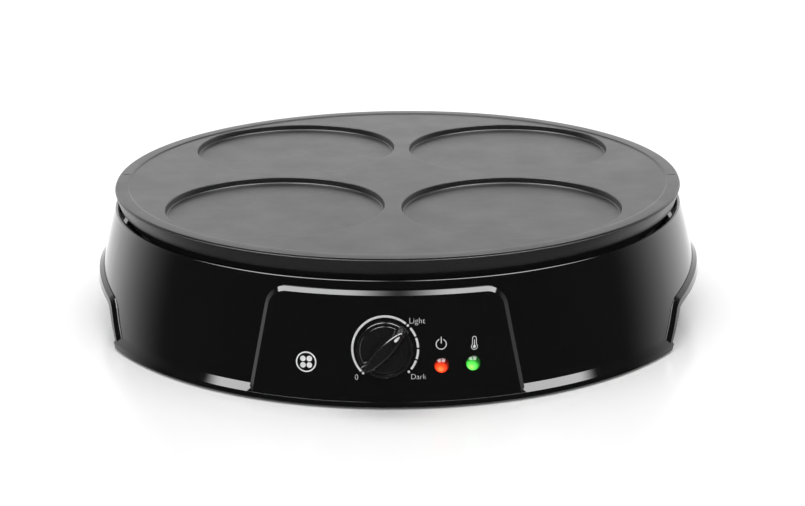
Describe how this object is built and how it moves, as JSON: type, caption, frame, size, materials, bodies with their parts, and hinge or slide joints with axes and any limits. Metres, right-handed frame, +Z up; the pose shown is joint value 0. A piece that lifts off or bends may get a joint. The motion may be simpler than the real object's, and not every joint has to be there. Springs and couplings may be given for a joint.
{
  "type": "electric griddle",
  "caption": "Round electric griddle: a lift-off cast plate with shallow pancake wells on a glossy base, with a turning thermostat knob and indicator lamps on a front console.",
  "frame": {"origin": "where the plate axis meets the table", "axes": "+Z up, console and knob face -Y, cord entry faces +Y"},
  "size_m": [0.397, 0.4287, 0.085],
  "materials": {
    "housing_black": "polished moulded plastic",
    "knob_black": "polished moulded plastic",
    "cover_black": "fine moulded grain",
    "plate_coating": "satin non-stick coating on cast aluminium",
    "steel": "plated sheet steel",
    "element_sheath": "heat-darkened steel sheath",
    "brass": "plain",
    "ceramic": "unglazed steatite",
    "rubber": "matt rubber",
    "lens_red": "clear red lens",
    "lens_green": "clear green lens",
    "bulb_glass": "clear glass",
    "white_print": "white pad print",
    "wire_brown": "silicone insulation",
    "wire_blue": "silicone insulation",
    "wire_green": "silicone insulation"
  },
  "bodies": {
    "base": {"block_screws": "brass", "bottom_cover": "cover_black", "cord_gland": "rubber", "cover_screws": "steel", "earth_lead": "wire_green", "earth_screw": "steel", "element_clip_1": "steel", "element_clip_2": "steel", "element_clip_3": "steel", "element_clip_4": "steel", "element_clip_5": "steel", "element_clip_6": "steel", "foot_1": "rubber", "foot_2": "rubber", "foot_3": "rubber", "foot_4": "rubber", "heater_lead": "wire_brown", "heating_element": "element_sheath", "housing": "housing_black", "live_lead": "wire_brown", "neutral_lead": "wire_blue", "plate_rest_1": "ceramic", "plate_rest_2": "ceramic", "plate_rest_3": "ceramic", "plate_rest_4": "ceramic", "power_lamp_bulb": "bulb_glass", "power_lamp_clip": "steel", "power_lamp_lead": "wire_brown", "power_lamp_lens": "lens_red", "ready_lamp_bulb": "bulb_glass", "ready_lamp_clip": "steel", "ready_lamp_lead": "wire_brown", "ready_lamp_lens": "lens_green", "reflector_pan": "steel", "reflector_screws": "steel", "spade_sockets": "steel", "terminal_block": "ceramic", "terminal_bush_1": "ceramic", "terminal_bush_2": "ceramic", "terminal_tab_1": "steel", "terminal_tab_2": "steel", "thermal_fuse": "steel", "thermostat_bimetal": "steel", "thermostat_frame": "steel", "thermostat_screws": "steel", "thermostat_stack": "ceramic"},
    "plate": {"griddle_plate": "plate_coating"},
    "knob": {"control_knob": "knob_black", "knob_pointer": "white_print", "thermostat_shaft": "brass", "knob_spring_leaf": "steel"}
  },
  "joints": [
    {"name": "plate_lift", "type": "slide", "parent": "base", "child": "plate", "axis": [0, 0, 1], "range_m": [0, 0.06]},
    {"name": "knob_turn", "type": "hinge", "parent": "base", "child": "knob", "pos_m": [0, -0.19817, 0.0351], "axis": [0, -0.9797, 0.2006], "range_deg": [-90, 181.7]}
  ]
}
